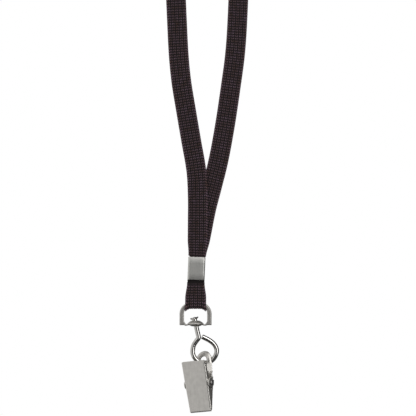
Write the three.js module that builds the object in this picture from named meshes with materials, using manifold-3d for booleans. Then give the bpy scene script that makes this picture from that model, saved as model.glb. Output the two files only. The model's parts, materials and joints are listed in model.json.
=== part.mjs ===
// Lanyard badge holder: a flat braided neck strap, crimped round a D-ring, with a swivel eye and a
// spring-loaded bulldog clip. Millimetres, +Z up, -Y is the front.
// The lanyard hangs. The origin is the middle of what it hangs from: the inside of the loop's top.
import * as THREE from 'three';
import { mergeVertices } from 'three/addons/utils/BufferGeometryUtils.js';
import Module from 'manifold-3d';

const wasm = await Module();
wasm.setup();

// ---------- driving dimensions ----------
const STRAP = { width: 10, thick: 1.0, loopRadius: 20 };

const CRIMP = { width: 8.8, depth: 5.0, height: 12.2, wall: 0.5, seam: 0.5, tiltDeg: 2.4 };
const CRIMP_BOTTOM = { x: -5.76, z: -398.6 };
const PLY_PITCH = 1.2; // the three plies of tape inside the crimp, front to back
const GATHERED = 7.2; // the tape's width inside the crimp
const MOUTH = 8.8; // and just outside it
const FOLD = { width: 10.6, thick: 0.9, radius: 1.87, steps: 44 };

const RING = {
  x: -5.95,
  top: -409.6,
  width: 16.4,
  height: 11.6,
  depth: 2.0,
  bevel: 0.5,
  leg: 2.3,
  topBar: 2.0,
  bottomBar: 1.5,
  corner: 5.9,
};
const BOSS = { radius: 4.15, domeUp: 1.8, domeDown: 1.45, bore: 1.8 };
const BOSS_RIM_Z = -420.5;

const WIRE = { radius: 1.17, eyeRadius: 6.3, shankTiltDeg: 13, yawDeg: 12 };
const HEAD = { radius: 2.05, bottom: 2.35, top: 3.6 };

const CLIP = {
  origin: [-3.98, -4.0, -450.9], // middle of the pivot pin
  tiltDeg: -8, // in the front view, top towards the left
  yawDeg: -37, // turned about its own length, right side towards the front
  pitchDeg: -5.5,
  sheet: 0.7,
  bottom: -14.1,
  top: 11.7,
  planeGap: 2.35, // from the pivot axis to the middle of each plate
  leanDeg: 7, // each plate from the clip's middle plane
  handleLeanDeg: 14, // the rear plate above its bend
  bendZ: 1,
  halfTop: 7.25,
  halfPivot: 7.1,
  halfBottom: 6.7,
  rearHalfPivot: 6.6, // the rear plate is a little narrower, so its folded edges stay inside
  rearHalfBottom: 6.1,
  rearFold: 1.1, // width taken by each folded edge of the rear plate
};
const LIP = { half: 5.9, height: 0.6, gap: 0.2 }; // along each plate's lower edge
const CORNER = 0.8; // the plates' corner radius
const EAR = { inner: 6.5, thick: 0.6, front: 1.7, rear: 2.6, outerFrom: 7.4, hole: 0.95 };
const TAB = { half: 4.95, centreZ: 11.6, holeHalf: 2.3, holeBottom: 7.2, band: 2.75 };
const PIN = { radius: 0.8, shoulder: 8.15, headRadius: 1.2, headThick: 0.5, headEdge: 0.2 };
const SPRING = { wire: 0.34, coilRadius: 1.47, pitch: 0.95, turns: 4, legTop: 7.0 };

// ---------- materials ----------
const metal = (color, roughness) => new THREE.MeshStandardMaterial({ color, roughness, metalness: 1 });
const fabric = new THREE.MeshStandardMaterial({ color: 0x2b2223, roughness: 0.95, metalness: 0 });
const crimpSteel = metal(0x8d8c87, 0.45);
const castNickel = metal(0xa8a7a2, 0.35);
const brightNickel = metal(0xd0cfca, 0.15);
const clipSteel = metal(0xaaa69f, 0.42);
const springSteel = metal(0x6d6c6a, 0.35);

// ---------- solids ----------
const rad = THREE.MathUtils.degToRad;

function toSolid(geometry) {
  const bare = geometry.clone();
  bare.deleteAttribute('normal');
  bare.deleteAttribute('uv');
  const merged = mergeVertices(bare, 1e-5);
  const vertProperties = new Float32Array(merged.attributes.position.array);
  const triVerts = new Uint32Array(merged.index.array);
  return new wasm.Manifold(new wasm.Mesh({ numProp: 3, vertProperties, triVerts }));
}

function toGeometry(solid) {
  const { vertProperties, triVerts, numProp } = solid.getMesh();
  const positions = new Float32Array((vertProperties.length / numProp) * 3);
  for (let i = 0; i < positions.length / 3; i += 1) {
    positions.set(vertProperties.subarray(i * numProp, i * numProp + 3), i * 3);
  }
  const geometry = new THREE.BufferGeometry();
  geometry.setAttribute('position', new THREE.BufferAttribute(positions, 3));
  geometry.setIndex(new THREE.BufferAttribute(new Uint32Array(triVerts), 1));
  geometry.computeVertexNormals();
  return geometry;
}

function piece(name, geometry, material) {
  const mesh = new THREE.Mesh(geometry, material);
  mesh.name = name;
  return mesh;
}

// A smooth open curve through [x, y, z] points.
function curveThrough(points) {
  const vectors = points.map((p) => new THREE.Vector3(...p));
  return new THREE.CatmullRomCurve3(vectors, false, 'centripetal');
}

// An outline given as [a, b] points, closed.
function outline(points) {
  return new THREE.Shape(points.map(([a, b]) => new THREE.Vector2(a, b)));
}

// A front-view outline (x, z), thickened along y from yFrom to yTo.
function frontSlab(shape, yFrom, yTo, segments = 10) {
  const options = { depth: yTo - yFrom, bevelEnabled: false, curveSegments: segments };
  const geometry = new THREE.ExtrudeGeometry(shape, options);
  geometry.rotateX(Math.PI / 2);
  geometry.translate(0, yTo, 0);
  return geometry;
}

// A side-view outline (y, z), thickened along x from xFrom to xTo.
function sideSlab(shape, xFrom, xTo, segments = 10) {
  const options = { depth: xTo - xFrom, bevelEnabled: false, curveSegments: segments };
  const geometry = new THREE.ExtrudeGeometry(shape, options);
  geometry.rotateX(Math.PI / 2);
  geometry.rotateZ(Math.PI / 2);
  geometry.translate(xFrom, 0, 0);
  return geometry;
}

// A round bar along x.
function bar(radius, xFrom, xTo, sides = 20) {
  const geometry = new THREE.CylinderGeometry(radius, radius, xTo - xFrom, sides);
  geometry.rotateZ(Math.PI / 2);
  geometry.translate((xFrom + xTo) / 2, 0, 0);
  return geometry;
}

// A round wire along a curve, flat at both ends.
function wire(curve, radius, steps, sides) {
  const section = new THREE.Shape();
  section.absarc(0, 0, radius, 0, 2 * Math.PI);
  const options = { steps, extrudePath: curve, bevelEnabled: false, curveSegments: sides };
  return new THREE.ExtrudeGeometry(section, options);
}

// A flat tape along a curve that lies in a plane of constant x or y. At u along the curve, turn(u) is how
// far its width has turned from the curve's own plane towards that plane's normal, width(u) is its
// width, and drop(u, a) is how far it droops at a across its width. columns are places across the
// width, from -1 to 1.
function tape({ curve, stations, planeNormal, turn, width, thick, columns = [-1, 1], drop = () => 0 }) {
  const half = thick / 2;
  const positions = [];
  const indices = [];
  const edge = 1 - half / (STRAP.width / 2);
  const inner = columns.map((c) => c * edge);
  const section = [
    ...inner.map((c) => [c, -half]),
    [1, -half * 0.4],
    [1, half * 0.4],
    ...inner.map((c) => [c, half]).reverse(),
    [-1, half * 0.4],
    [-1, -half * 0.4],
  ];
  for (const u of stations) {
    const centre = curve.getPointAt(u);
    const along = curve.getTangentAt(u);
    const inPlane = new THREE.Vector3().crossVectors(planeNormal, along).normalize();
    const across = inPlane.multiplyScalar(Math.cos(turn(u)));
    across.addScaledVector(planeNormal, Math.sin(turn(u))).normalize();
    const face = new THREE.Vector3().crossVectors(along, across).normalize();
    const w = width(u) / 2;
    for (const [c, b] of section) {
      const point = centre.clone().addScaledVector(across, c * w).addScaledVector(face, b);
      positions.push(point.x, point.y, point.z - drop(u, c * w));
    }
  }
  const sides = section.length;
  const last = (stations.length - 1) * sides;
  for (let i = 0; i < last; i += sides) {
    for (let j = 0; j < sides; j += 1) {
      const a = i + j;
      const b = i + ((j + 1) % sides);
      indices.push(a, b, b + sides, a, b + sides, a + sides);
    }
  }
  const n = columns.length;
  const under = [2 * n + 3, ...columns.keys(), n];
  const over = [2 * n + 2, ...Array.from(columns.keys(), (j) => 2 * n + 1 - j), n + 1];
  for (let j = 0; j <= n; j += 1) {
    const quad = [under[j], under[j + 1], over[j + 1], over[j]];
    const [p, q, r, t] = quad;
    indices.push(p, t, r, p, r, q);
    indices.push(last + p, last + q, last + r, last + p, last + r, last + t);
  }
  const geometry = new THREE.BufferGeometry();
  geometry.setAttribute('position', new THREE.Float32BufferAttribute(positions, 3));
  geometry.setIndex(indices);
  geometry.computeVertexNormals();
  return geometry;
}

const smooth = (t) => THREE.MathUtils.smoothstep(t, 0, 1);

// ---------- strap ----------
// The loop's middle line, [x, y, z]: from the crimp up the front leg, over the top and down the rear
// leg. The front leg crosses in front of the rear one above the crimp.
const FRONT_LEG = [
  [-5.45, -1.2, -391.0],
  [-5.2, -1.2, -386.4],
  [-4.95, -1.2, -380.0],
  [-4.85, -1.2, -368.0],
  [-4.8, -1.15, -357.0],
  [-5.5, -1.1, -343.0],
  [-8.2, -1.0, -327.0],
  [-11.1, -0.6, -310.0],
  [-13.2, -0.2, -297.0],
  [-14.5, 0, -284.0],
  [-15.5, 0, -264.5],
  [-17.1, 0, -225.0],
  [-18.8, 0, -165.0],
  [-20.0, 0, -100.0],
  [-20.5, 0, -50.0],
];
const REAR_LEG = [
  [20.5, 0, -50.0],
  [20.0, 0, -100.0],
  [18.6, 0, -165.0],
  [16.8, 0, -225.0],
  [15.45, 0, -264.5],
  [14.2, 0, -282.9],
  [11.8, 0, -301.0],
  [9.1, 0, -319.0],
  [5.7, 0.1, -337.4],
  [2.4, 0.2, -350.7],
  [-0.4, 0.2, -361.5],
  [-3.0, 0.1, -374.5],
  [-4.7, 0, -383.3],
  [-5.2, 0, -387.5],
  [-5.4, 0, -391.0],
];
// Stretches of the loop as [end, sections]: close together out of the crimp and round the top.
const LOOP_STRETCHES = [
  [0.0057, 1],
  [0.0073, 4],
  [0.022, 4],
  [0.455, 25],
  [0.545, 12],
  [0.978, 25],
  [0.9927, 4],
  [0.9943, 4],
  [1, 1],
];

function loopRoute() {
  const r = STRAP.loopRadius + STRAP.thick / 2;
  const top = [150, 115, 90, 65, 30].map((deg) => [
    r * Math.cos(rad(deg)),
    0,
    -STRAP.loopRadius + r * Math.sin(rad(deg)),
  ]);
  const ends = [[-r, 0, -STRAP.loopRadius], ...top, [r, 0, -STRAP.loopRadius]];
  return curveThrough([...FRONT_LEG, ...ends, ...REAR_LEG]);
}

// The tape faces forwards below and lies flat on what it hangs from above: a quarter turn in each leg.
function loopTurn(u) {
  const fromMiddle = Math.abs(u - 0.5);
  return (Math.PI / 2) * (1 - smooth((fromMiddle - 0.09) / 0.2));
}

// The tape is gathered to the crimp's inside width, and spreads as soon as it is past the sleeve's edge.
function spreadWidth(pastEdge, full) {
  const mouth = THREE.MathUtils.lerp(GATHERED, MOUTH, smooth((pastEdge - 0.25) / 0.8));
  return THREE.MathUtils.lerp(mouth, full, smooth((pastEdge - 1) / 8));
}

function loopWidth(u, curve) {
  const edge = CRIMP_BOTTOM.z + CRIMP.height;
  const pastEdge = Math.abs(u - 0.5) < 0.4 ? Infinity : curve.getPointAt(u).z - edge;
  return spreadWidth(pastEdge, STRAP.width);
}

function strapLoop() {
  const stations = [0];
  for (const [end, count] of LOOP_STRETCHES) {
    const start = stations.at(-1);
    for (let i = 1; i <= count; i += 1) stations.push(start + ((end - start) * i) / count);
  }
  const curve = loopRoute();
  return tape({
    curve,
    stations,
    planeNormal: new THREE.Vector3(0, 1, 0),
    turn: loopTurn,
    width: (u) => loopWidth(u, curve),
    thick: STRAP.thick,
  });
}

// The front ply runs on below the crimp, round the D-ring's top bar and back up into the crimp. Its
// edges droop under the bar, because the ring's corners curve down inside it.
function ringFold() {
  const barZ = RING.top - RING.topBar / 2;
  const r = FOLD.radius;
  const low = CRIMP_BOTTOM.z;
  const points = [
    [CRIMP_BOTTOM.x, -PLY_PITCH, low + 4.5],
    [CRIMP_BOTTOM.x, -PLY_PITCH, low + 0.5],
    [CRIMP_BOTTOM.x - 0.08, -1.5, low - 4],
    [RING.x + 0.05, -r, barZ + 1.5],
  ];
  for (const deg of [180, 210, 240, 270, 300, 330, 360]) {
    points.push([RING.x, r * Math.cos(rad(deg)), barZ + r * Math.sin(rad(deg))]);
  }
  points.push(
    [RING.x + 0.05, r, barZ + 1.5],
    [CRIMP_BOTTOM.x - 0.08, 1.5, low - 4],
    [CRIMP_BOTTOM.x, PLY_PITCH, low + 0.5],
    [CRIMP_BOTTOM.x + 0.3, PLY_PITCH, low + 10.5],
  );
  const curve = curveThrough(points);
  const width = (u) => spreadWidth(low - curve.getPointAt(u).z, FOLD.width);
  const straight = RING.width / 2 - RING.corner;
  const inner = RING.corner - RING.leg + 0.15;
  const drop = (u, a) => {
    const past = Math.max(Math.abs(a) - straight, 0);
    const arc = inner - Math.sqrt(inner ** 2 - Math.min(past, inner * 0.95) ** 2);
    return arc * smooth((barZ + 2.5 - curve.getPointAt(u).z) / 3);
  };
  return tape({
    curve,
    stations: Array.from({ length: FOLD.steps + 1 }, (_, i) => i / FOLD.steps),
    planeNormal: new THREE.Vector3(1, 0, 0),
    turn: () => Math.PI / 2,
    width,
    thick: FOLD.thick,
    columns: [-1, -0.8, -0.6, -0.4, 0, 0.4, 0.6, 0.8, 1],
    drop,
  });
}

// ---------- crimp ----------
function roundedRectangle(path, halfX, halfY, r) {
  path.moveTo(-halfX + r, -halfY);
  path.lineTo(halfX - r, -halfY);
  path.absarc(halfX - r, -halfY + r, r, -Math.PI / 2, 0);
  path.absarc(halfX - r, halfY - r, r, 0, Math.PI / 2);
  path.absarc(-halfX + r, halfY - r, r, Math.PI / 2, Math.PI);
  path.absarc(-halfX + r, -halfY + r, r, Math.PI, 1.5 * Math.PI);
  return path;
}

// A sheet wrapped round the plies, its two edges meeting at the back.
function crimpSleeve() {
  const shape = roundedRectangle(new THREE.Shape(), CRIMP.width / 2, CRIMP.depth / 2, 1.5);
  const inner = roundedRectangle(
    new THREE.Path(),
    CRIMP.width / 2 - CRIMP.wall,
    CRIMP.depth / 2 - CRIMP.wall,
    0.9,
  );
  shape.holes.push(inner);
  const options = { depth: CRIMP.height, bevelEnabled: false, curveSegments: 6 };
  const tube = new THREE.ExtrudeGeometry(shape, options);
  const seam = new THREE.BoxGeometry(CRIMP.seam, CRIMP.wall * 4, CRIMP.height * 2);
  seam.translate(0, CRIMP.depth / 2, 0);
  return toGeometry(toSolid(tube).subtract(toSolid(seam)));
}

// ---------- D-ring ----------
function ringShape() {
  const w = RING.width / 2;
  const h = RING.height;
  const r = RING.corner;
  const shape = new THREE.Shape();
  shape.moveTo(-w, -h);
  shape.lineTo(w, -h);
  shape.lineTo(w, -r);
  shape.absarc(w - r, -r, r, 0, Math.PI / 2);
  shape.absarc(-w + r, -r, r, Math.PI / 2, Math.PI);
  const iw = w - RING.leg;
  const ir = r - RING.leg + 0.15;
  const floor = -h + RING.bottomBar;
  const foot = { in: 0.9, up: 0.7 };
  const hole = new THREE.Path();
  hole.moveTo(-iw + foot.in, floor);
  hole.lineTo(-iw + foot.in, floor + foot.up);
  hole.lineTo(-iw, floor + foot.up);
  hole.lineTo(-iw, -RING.topBar - ir);
  hole.absarc(-iw + ir, -RING.topBar - ir, ir, Math.PI, Math.PI / 2, true);
  hole.absarc(iw - ir, -RING.topBar - ir, ir, Math.PI / 2, 0, true);
  hole.lineTo(iw, floor + foot.up);
  hole.lineTo(iw - foot.in, floor + foot.up);
  hole.lineTo(iw - foot.in, floor);
  shape.holes.push(hole);
  return shape;
}

function bossGeometry() {
  const profile = [new THREE.Vector2(0, -BOSS.domeDown)];
  const steps = 5;
  for (let i = 0; i <= steps; i += 1) {
    const r = BOSS.radius * Math.sin(rad((90 * i) / steps));
    const fall = 1 - (r / BOSS.radius) ** 2;
    profile.push(new THREE.Vector2(r, -BOSS.domeDown * fall - 0.2));
  }
  for (let i = steps; i > 0; i -= 1) {
    const r = BOSS.radius * Math.sin(rad((90 * i) / steps));
    const rise = 1 - (r / BOSS.radius) ** 2;
    profile.push(new THREE.Vector2(r, BOSS.domeUp * rise + 0.2));
  }
  profile.push(new THREE.Vector2(0, BOSS.domeUp + 0.2));
  profile.shift();
  const geometry = new THREE.LatheGeometry(profile, 36);
  geometry.rotateX(Math.PI / 2);
  return geometry;
}

function dRing() {
  const b = RING.bevel;
  const frame = new THREE.ExtrudeGeometry(ringShape(), {
    depth: RING.depth - 2 * b,
    bevelEnabled: true,
    bevelThickness: b,
    bevelSize: b,
    bevelOffset: -b,
    bevelSegments: 3,
    curveSegments: 12,
  });
  frame.rotateX(Math.PI / 2);
  frame.translate(RING.x, RING.depth / 2 - b, RING.top);
  const boss = bossGeometry();
  boss.translate(RING.x, 0, BOSS_RIM_Z);
  const bore = new THREE.CylinderGeometry(BOSS.bore, BOSS.bore, 12, 24);
  bore.rotateX(Math.PI / 2);
  bore.translate(RING.x, 0, BOSS_RIM_Z);
  return toGeometry(toSolid(frame).add(toSolid(boss)).subtract(toSolid(bore)));
}

// ---------- swivel eye ----------
// The wire's middle line in its own plane, [across, up] from the middle of the boss.
function eyeRoute() {
  const lean = rad(WIRE.shankTiltDeg);
  const shank = (down) => [down * Math.sin(lean), -down * Math.cos(lean)];
  const eye = [4.71, -13.75];
  const round = [190, 215, 240, 265, 290, 315, 340, 362].map((deg) => [
    eye[0] + WIRE.eyeRadius * Math.cos(rad(deg)),
    eye[1] + WIRE.eyeRadius * Math.sin(rad(deg)),
  ]);
  const points = [
    shank(-HEAD.bottom - 0.4),
    shank(-1),
    shank(1),
    shank(3),
    shank(5.2),
    [1.55, -7.2],
    [0.55, -8.65],
    [-0.55, -10.2],
    [-1.15, -11.5],
    ...round,
    [10.2, -11.35],
    [8.95, -9.8],
    [7.4, -8.65],
    [5.9, -7.8],
    [3.6, -6.67],
  ];
  return curveThrough(points.map(([across, up]) => [across, 0, up]));
}

function swivelEye() {
  const body = wire(eyeRoute(), WIRE.radius, 66, 6);
  const head = new THREE.LatheGeometry(
    [
      new THREE.Vector2(0, HEAD.bottom),
      new THREE.Vector2(HEAD.radius * 0.9, HEAD.bottom),
      new THREE.Vector2(HEAD.radius, HEAD.bottom + 0.3),
      new THREE.Vector2(HEAD.radius * 0.95, HEAD.top - 0.5),
      new THREE.Vector2(HEAD.radius * 0.6, HEAD.top),
      new THREE.Vector2(0, HEAD.top),
    ],
    20,
  );
  head.rotateX(Math.PI / 2);
  head.rotateY(-rad(WIRE.shankTiltDeg));
  return toGeometry(toSolid(body).add(toSolid(head)));
}

// ---------- bulldog clip ----------
const slope = Math.tan(rad(CLIP.leanDeg));
const handleSlope = Math.tan(rad(CLIP.handleLeanDeg));

// The middle of each plate's thickness at height z.
function frontPlane(z) {
  return -(CLIP.planeGap + z * slope);
}

function rearPlane(z) {
  const bend = CLIP.bendZ;
  return CLIP.planeGap + Math.min(z, bend) * slope + Math.max(z - bend, 0) * handleSlope;
}

function jawOutline() {
  const r = CORNER;
  const shape = new THREE.Shape();
  shape.moveTo(-CLIP.halfBottom + r, CLIP.bottom);
  shape.lineTo(CLIP.halfBottom - r, CLIP.bottom);
  shape.absarc(CLIP.halfBottom - r, CLIP.bottom + r, r, -Math.PI / 2, 0);
  shape.lineTo(CLIP.halfPivot, 0);
  shape.lineTo(CLIP.halfTop, CLIP.top - r);
  shape.absarc(CLIP.halfTop - r, CLIP.top - r, r, 0, Math.PI / 2);
  shape.absarc(-CLIP.halfTop + r, CLIP.top - r, r, Math.PI / 2, Math.PI);
  shape.lineTo(-CLIP.halfPivot, 0);
  shape.lineTo(-CLIP.halfBottom, CLIP.bottom + r);
  shape.absarc(-CLIP.halfBottom + r, CLIP.bottom + r, r, Math.PI, 1.5 * Math.PI);
  return shape;
}

// A plate's side view as a strip of sheet between two heights.
function strip(plane, zList) {
  const t = CLIP.sheet / 2;
  const near = zList.map((z) => [plane(z) - t, z]);
  const far = zList.map((z) => [plane(z) + t, z]).reverse();
  return outline([...near, ...far]);
}

function frontJaw() {
  const span = sideSlab(strip(frontPlane, [CLIP.bottom, CLIP.top]), -8, 8);
  let solid = toSolid(span).intersect(toSolid(frontSlab(jawOutline(), -12, 12)));
  const wall = outline([
    [frontPlane(9.6), 9.6],
    [frontPlane(8.8) + 1.3, 8.8],
    [frontPlane(2.6) + 1.3, 2.6],
    [-0.25, 1.2],
    [-0.25, -13.1],
    [frontPlane(-13.7), -13.7],
  ]);
  const ear = new THREE.Shape();
  ear.absarc(0, 0, EAR.front, 0, 2 * Math.PI);
  const lip = outline([
    [frontPlane(CLIP.bottom), CLIP.bottom],
    [-LIP.gap, CLIP.bottom],
    [-LIP.gap, CLIP.bottom + LIP.height],
    [frontPlane(CLIP.bottom), CLIP.bottom + LIP.height],
  ]);
  for (const side of [-1, 1]) {
    const from = side < 0 ? -EAR.inner - EAR.thick : EAR.inner;
    solid = solid.add(toSolid(sideSlab(wall, from, from + EAR.thick)));
    solid = solid.add(toSolid(sideSlab(ear, from, from + EAR.thick, 10)));
  }
  const trim = outline([
    [-CLIP.halfBottom, CLIP.bottom],
    [CLIP.halfBottom, CLIP.bottom],
    [CLIP.halfPivot, -2],
    [CLIP.halfTop, CLIP.top],
    [-CLIP.halfTop, CLIP.top],
    [-CLIP.halfPivot, -2],
  ]);
  solid = solid.intersect(toSolid(frontSlab(trim, -12, 12)));
  solid = solid.add(toSolid(sideSlab(lip, -LIP.half, LIP.half)));
  solid = solid.subtract(toSolid(bar(EAR.hole, -9, 9)));
  return toGeometry(solid);
}

function rearOutline() {
  const shape = new THREE.Shape();
  const shoulder = EAR.outerFrom + EAR.thick;
  const c = CORNER;
  const foot = CLIP.rearHalfBottom;
  shape.moveTo(-foot + c, CLIP.bottom);
  shape.lineTo(foot - c, CLIP.bottom);
  shape.absarc(foot - c, CLIP.bottom + c, c, -Math.PI / 2, 0);
  shape.lineTo(CLIP.rearHalfPivot, -3.6);
  shape.lineTo(shoulder, -EAR.rear);
  shape.lineTo(shoulder, EAR.rear);
  shape.lineTo(CLIP.rearHalfPivot - 0.4, 3.2);
  shape.lineTo(TAB.half + 0.35, 8);
  shape.lineTo(TAB.half, TAB.centreZ);
  shape.absarc(0, TAB.centreZ, TAB.half, 0, Math.PI);
  shape.lineTo(-TAB.half - 0.35, 8);
  shape.lineTo(-CLIP.rearHalfPivot + 0.4, 3.2);
  shape.lineTo(-shoulder, EAR.rear);
  shape.lineTo(-shoulder, -EAR.rear);
  shape.lineTo(-CLIP.rearHalfPivot, -3.6);
  shape.lineTo(-foot, CLIP.bottom + c);
  shape.absarc(-foot + c, CLIP.bottom + c, c, Math.PI, 1.5 * Math.PI);
  const hole = new THREE.Path();
  const r = TAB.holeHalf;
  const holeTop = TAB.centreZ + TAB.half - TAB.band;
  hole.moveTo(-r + 1, TAB.holeBottom);
  hole.absarc(-r + 1, TAB.holeBottom + 1, 1, 1.5 * Math.PI, Math.PI, true);
  hole.absarc(0, holeTop - r, r, Math.PI, 0, true);
  hole.absarc(r - 1, TAB.holeBottom + 1, 1, 0, -Math.PI / 2, true);
  shape.holes.push(hole);
  return shape;
}

function rearJaw() {
  const zTop = TAB.centreZ + TAB.half;
  const span = sideSlab(strip(rearPlane, [CLIP.bottom, CLIP.bendZ, zTop]), -9, 9);
  let solid = toSolid(span).intersect(toSolid(frontSlab(rearOutline(), -12, 12, 20)));
  const wall = outline([
    [rearPlane(-13.7), -13.7],
    [0.25, -13.1],
    [0.25, -3.4],
    [rearPlane(-2.6), -2.6],
  ]);
  const ear = new THREE.Shape();
  ear.moveTo(rearPlane(-EAR.rear), -EAR.rear);
  ear.lineTo(rearPlane(EAR.rear), EAR.rear);
  ear.lineTo(0, EAR.rear);
  ear.absarc(0, 0, EAR.rear, Math.PI / 2, 1.5 * Math.PI);
  const lip = outline([
    [rearPlane(CLIP.bottom), CLIP.bottom],
    [rearPlane(CLIP.bottom), CLIP.bottom + LIP.height],
    [LIP.gap, CLIP.bottom + LIP.height],
    [LIP.gap, CLIP.bottom],
  ]);
  for (const side of [-1, 1]) {
    const wallFrom = side < 0 ? -CLIP.rearHalfPivot : CLIP.rearHalfPivot - CLIP.rearFold;
    const earFrom = side < 0 ? -EAR.outerFrom - EAR.thick : EAR.outerFrom;
    solid = solid.add(toSolid(sideSlab(wall, wallFrom, wallFrom + CLIP.rearFold)));
    solid = solid.add(toSolid(sideSlab(ear, earFrom, earFrom + EAR.thick, 12)));
  }
  const trim = outline([
    [-CLIP.rearHalfBottom, CLIP.bottom],
    [CLIP.rearHalfBottom, CLIP.bottom],
    [CLIP.rearHalfPivot, -3.4],
    [9, -3.2],
    [9, zTop],
    [-9, zTop],
    [-9, -3.2],
    [-CLIP.rearHalfPivot, -3.4],
  ]);
  solid = solid.intersect(toSolid(frontSlab(trim, -12, 12)));
  solid = solid.add(toSolid(sideSlab(lip, -LIP.half, LIP.half)));
  solid = solid.subtract(toSolid(bar(EAR.hole, -9, 9)));
  return toGeometry(solid);
}

function pivotPin() {
  const end = PIN.shoulder + PIN.headThick;
  const profile = [
    [0, -end],
    [PIN.headRadius * 0.7, -end],
    [PIN.headRadius, -end + PIN.headEdge],
    [PIN.headRadius, -PIN.shoulder],
    [PIN.radius, -PIN.shoulder],
    [PIN.radius, PIN.shoulder],
    [PIN.headRadius, PIN.shoulder],
    [PIN.headRadius, end - PIN.headEdge],
    [PIN.headRadius * 0.7, end],
    [0, end],
  ].map(([r, x]) => new THREE.Vector2(r, x));
  const geometry = new THREE.LatheGeometry(profile, 20);
  geometry.rotateZ(-Math.PI / 2);
  return geometry;
}

// Coils round the pin, with a leg up each handle's inner face.
function clipSpring() {
  const points = [];
  const halfLength = (SPRING.turns * SPRING.pitch) / 2;
  const stand = CLIP.sheet / 2 + SPRING.wire + 0.2;
  const frontY = (z) => frontPlane(z) + stand;
  const rearY = (z) => rearPlane(z) - stand;
  points.push([-halfLength, frontY(SPRING.legTop), SPRING.legTop], [-halfLength, frontY(4), 4]);
  const count = SPRING.turns * 10;
  const startDeg = 165;
  const sweepDeg = SPRING.turns * 360 + 210;
  for (let i = 0; i <= count; i += 1) {
    const angle = rad(startDeg + (i / count) * sweepDeg);
    const x = -halfLength + (i / count) * 2 * halfLength;
    points.push([x, SPRING.coilRadius * Math.cos(angle), SPRING.coilRadius * Math.sin(angle)]);
  }
  points.push([halfLength, rearY(4), 4], [halfLength, rearY(SPRING.legTop), SPRING.legTop]);
  return wire(curveThrough(points), SPRING.wire, 96, 3);
}

// ---------- assembly ----------
const lanyard = new THREE.Group();

const crimp = piece('crimp_sleeve', crimpSleeve(), crimpSteel);
crimp.position.set(CRIMP_BOTTOM.x, 0, CRIMP_BOTTOM.z);
crimp.rotation.y = rad(CRIMP.tiltDeg);

const eye = piece('swivel_eye', swivelEye(), brightNickel);
eye.position.set(RING.x, 0, BOSS_RIM_Z);
eye.rotation.z = rad(WIRE.yawDeg);

const clip = new THREE.Group();
clip.position.set(...CLIP.origin);
clip.rotation.set(rad(CLIP.pitchDeg), rad(CLIP.tiltDeg), rad(CLIP.yawDeg), 'YZX');
clip.add(
  piece('rear_jaw', rearJaw(), clipSteel),
  piece('front_jaw', frontJaw(), clipSteel),
  piece('pivot_pin', pivotPin(), brightNickel),
  piece('clip_spring', clipSpring(), springSteel),
);

lanyard.add(
  piece('strap_loop', strapLoop(), fabric),
  piece('ring_fold', ringFold(), fabric),
  crimp,
  piece('d_ring', dRing(), castNickel),
  eye,
  clip,
);

export default lanyard;
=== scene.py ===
"""Lanyard badge holder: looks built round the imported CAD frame.

A flat braided neck strap runs through a crimped sleeve and round a D-ring. Below it hang a bent-wire
swivel eye and a bulldog clip. Shapes are worked out in millimetres and made in metres.
"""

import json
import math

import bpy
import numpy as np
from mathutils import Matrix, Vector


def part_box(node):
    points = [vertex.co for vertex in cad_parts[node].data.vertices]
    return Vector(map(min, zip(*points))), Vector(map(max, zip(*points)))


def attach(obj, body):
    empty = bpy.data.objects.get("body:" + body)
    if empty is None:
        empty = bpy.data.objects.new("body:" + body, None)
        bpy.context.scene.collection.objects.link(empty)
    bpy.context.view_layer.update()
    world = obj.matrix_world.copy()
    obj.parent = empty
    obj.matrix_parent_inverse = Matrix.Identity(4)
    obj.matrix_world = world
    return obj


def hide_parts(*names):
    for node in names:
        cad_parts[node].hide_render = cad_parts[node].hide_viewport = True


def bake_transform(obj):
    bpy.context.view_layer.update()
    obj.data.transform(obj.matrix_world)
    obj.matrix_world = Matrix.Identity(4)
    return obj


MM = 0.001
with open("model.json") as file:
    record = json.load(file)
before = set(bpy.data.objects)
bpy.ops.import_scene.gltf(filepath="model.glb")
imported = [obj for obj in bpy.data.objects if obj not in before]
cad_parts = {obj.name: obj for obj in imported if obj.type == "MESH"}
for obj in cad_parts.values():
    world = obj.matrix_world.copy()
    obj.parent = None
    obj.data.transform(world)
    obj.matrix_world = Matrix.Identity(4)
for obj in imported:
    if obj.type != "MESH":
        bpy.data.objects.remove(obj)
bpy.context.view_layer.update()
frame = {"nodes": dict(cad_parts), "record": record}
BASE_COLORS = {m["slot"]: m["base_color"][:3] for m in frame["record"]["materials"]}


# ---------- camera ----------
VIEW_SIDE = 0.2122  # what the picture takes in at the object, in metres
CAMERA_DISTANCE = 1.6
CAMERA_X = 0.0004
BOTTOM_MARGIN = 0.002  # below the clip's lowest corner


def make_camera():
    data = bpy.data.cameras.new("camera")
    data.lens = data.sensor_width * CAMERA_DISTANCE / VIEW_SIDE
    data.clip_end = 50
    camera = bpy.data.objects.new("camera", data)
    middle_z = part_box("front_jaw")[0].z - BOTTOM_MARGIN + VIEW_SIDE / 2
    camera.location = (CAMERA_X, -CAMERA_DISTANCE, middle_z)
    camera.rotation_euler = (math.pi / 2, 0, 0)
    bpy.context.collection.objects.link(camera)
    bpy.context.scene.camera = camera


make_camera()


# ---------- small tools ----------
def smooth(t):
    t = np.clip(t, 0.0, 1.0)
    return t * t * (3 - 2 * t)


def ramp(value, start, length):
    """0 up to start, 1 from start + length on, and smooth in between."""
    return smooth((value - start) / length)


def unit(v):
    return v / np.linalg.norm(v, axis=-1, keepdims=True)


def turned(degrees, axis):
    return Matrix.Rotation(math.radians(degrees), 4, axis)


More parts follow.
